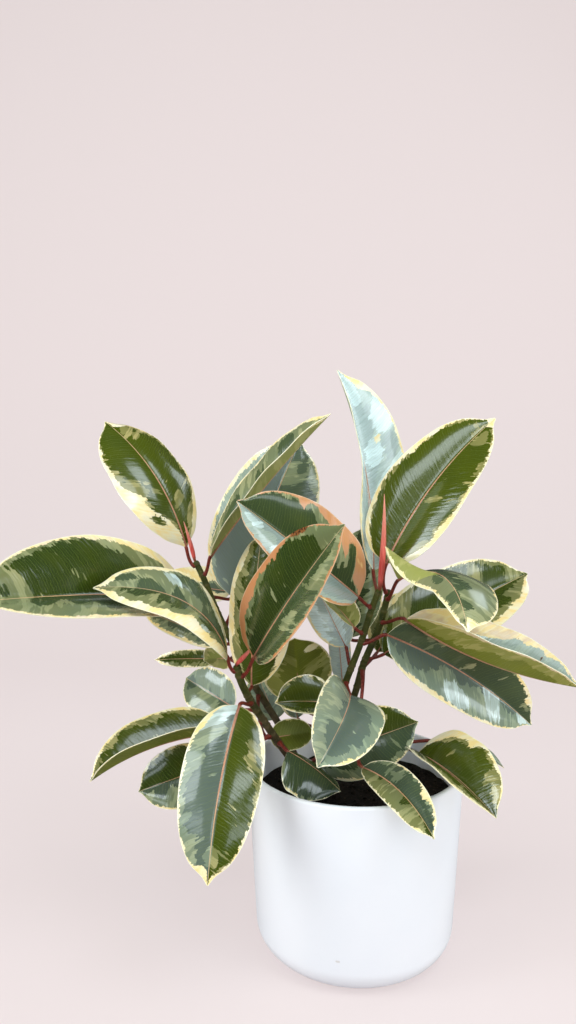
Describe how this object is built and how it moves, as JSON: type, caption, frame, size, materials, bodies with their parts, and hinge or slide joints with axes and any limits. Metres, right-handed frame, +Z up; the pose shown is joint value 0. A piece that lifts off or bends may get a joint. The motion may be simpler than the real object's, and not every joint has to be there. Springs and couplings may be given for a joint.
{
  "type": "potted rubber plant",
  "caption": "Variegated rubber plant with four leaning stems, broad pointed leaves on long petioles and red growing tips, in a plain white round pot.",
  "frame": {"origin": "centre of the pot's flat foot, on the surface it stands on", "axes": "+Z is up, -Y is the plant's front and +X is to the right of someone who looks at that front"},
  "size_m": [0.6083, 0.406, 0.6774],
  "materials": {
    "leaf": "satin",
    "stem": "matte",
    "sheath": "satin",
    "soil": "matte",
    "pot": "satin"
  },
  "bodies": {
    "root": {"leaf_a1": "leaf", "leaf_a10": "leaf", "leaf_a11": "leaf", "leaf_a2": "leaf", "leaf_a3": "leaf", "leaf_a4": "leaf", "leaf_a5": "leaf", "leaf_a6": "leaf", "leaf_a7": "leaf", "leaf_a8": "leaf", "leaf_a9": "leaf", "leaf_b1": "leaf", "leaf_b2": "leaf", "leaf_b3": "leaf", "leaf_b4": "leaf", "leaf_b5": "leaf", "leaf_b6": "leaf", "leaf_b7": "leaf", "leaf_b8": "leaf", "leaf_b9": "leaf", "leaf_c1": "leaf", "leaf_c2": "leaf", "leaf_c3": "leaf", "leaf_c4": "leaf", "leaf_c5": "leaf", "leaf_c6": "leaf", "leaf_c7": "leaf", "leaf_c8": "leaf", "leaf_c9": "leaf", "leaf_d1": "leaf", "leaf_d10": "leaf", "leaf_d2": "leaf", "leaf_d3": "leaf", "leaf_d4": "leaf", "leaf_d5": "leaf", "leaf_d6": "leaf", "leaf_d7": "leaf", "leaf_d8": "leaf", "leaf_d9": "leaf", "pot": "pot", "sheath_a": "sheath", "sheath_b": "sheath", "sheath_c": "sheath", "soil": "soil", "stem_a": "stem", "stem_b": "stem", "stem_c": "stem", "stem_d": "stem"}
  },
  "joints": []
}
